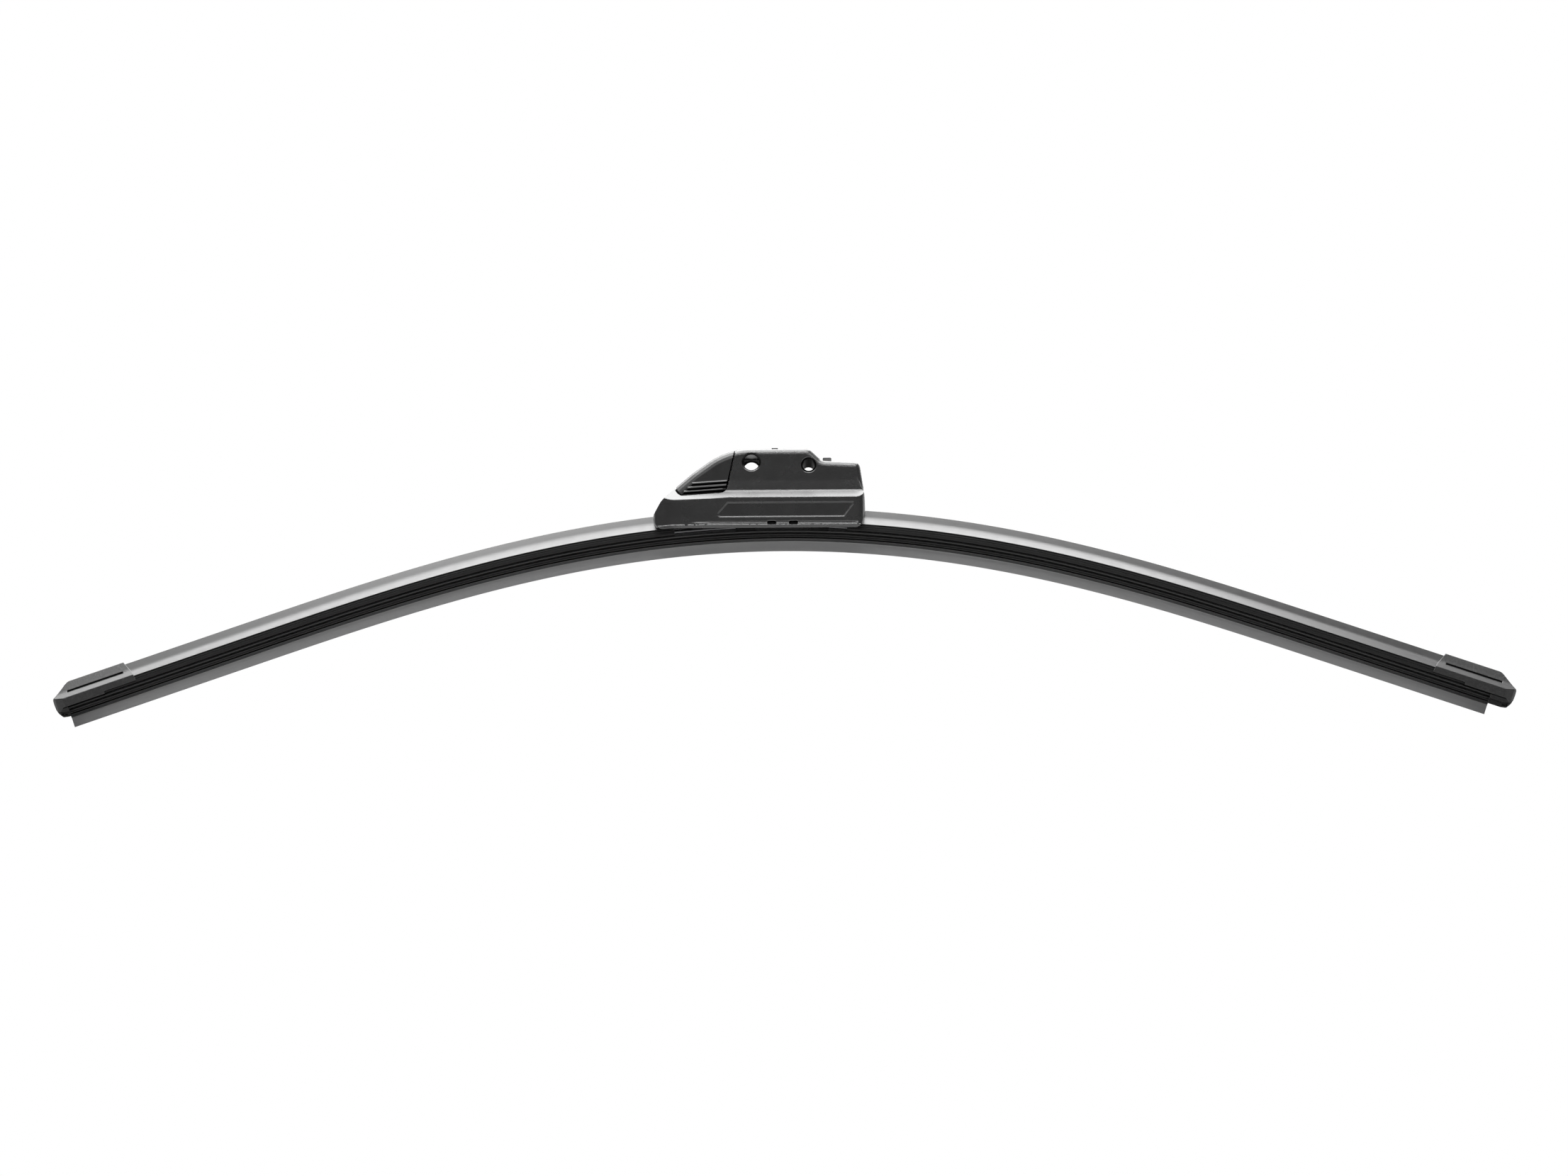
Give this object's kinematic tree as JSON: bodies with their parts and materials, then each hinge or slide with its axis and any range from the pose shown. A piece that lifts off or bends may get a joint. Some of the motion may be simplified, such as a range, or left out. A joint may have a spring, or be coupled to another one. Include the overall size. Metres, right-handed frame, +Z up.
{
  "type": "wiper blade",
  "caption": "Flat curved wiper blade with wind fins, end caps and a clip-on arm connector with a hinged nose cap and a rocking hook adapter.",
  "frame": {"origin": "centre of the pivot tube, on its axis midway between the housing's walls", "axes": "+X along the blade towards the arm side, +Y across it away from the front face, +Z up, away from the glass"},
  "size_m": [0.5853, 0.024, 0.1112],
  "materials": {
    "rubber": "satin",
    "spoiler_rubber": "smooth satin",
    "rail_steel": "spring steel, dark",
    "cap_plastic": "fine grain",
    "bracket_plastic": "moulded",
    "housing_plastic": "spark-eroded grain",
    "nose_plastic": "smooth satin",
    "adapter_plastic": "moulded",
    "tube_steel": "blackened steel"
  },
  "bodies": {
    "blade": {"wiper_rubber": "rubber", "rail_front": "rail_steel", "rail_back": "rail_steel", "spoiler_left": "spoiler_rubber", "spoiler_right": "spoiler_rubber", "end_cap_left": "cap_plastic", "end_cap_right": "cap_plastic", "base_bracket": "bracket_plastic", "housing": "housing_plastic", "pivot_tube": "tube_steel"},
    "cap": {"nose_cap": "nose_plastic"},
    "adapter": {"hook_adapter": "adapter_plastic"}
  },
  "joints": [
    {"name": "nose_cap_hinge", "type": "hinge", "parent": "blade", "child": "cap", "pos_m": [-0.04945, 0, -0.0084], "axis": [0, -1, 0], "range_deg": [0, 75]},
    {"name": "adapter_rock", "type": "hinge", "parent": "blade", "child": "adapter", "pos_m": [0, 0, 0], "axis": [0, -1, 0], "range_deg": [-8, 8]}
  ]
}
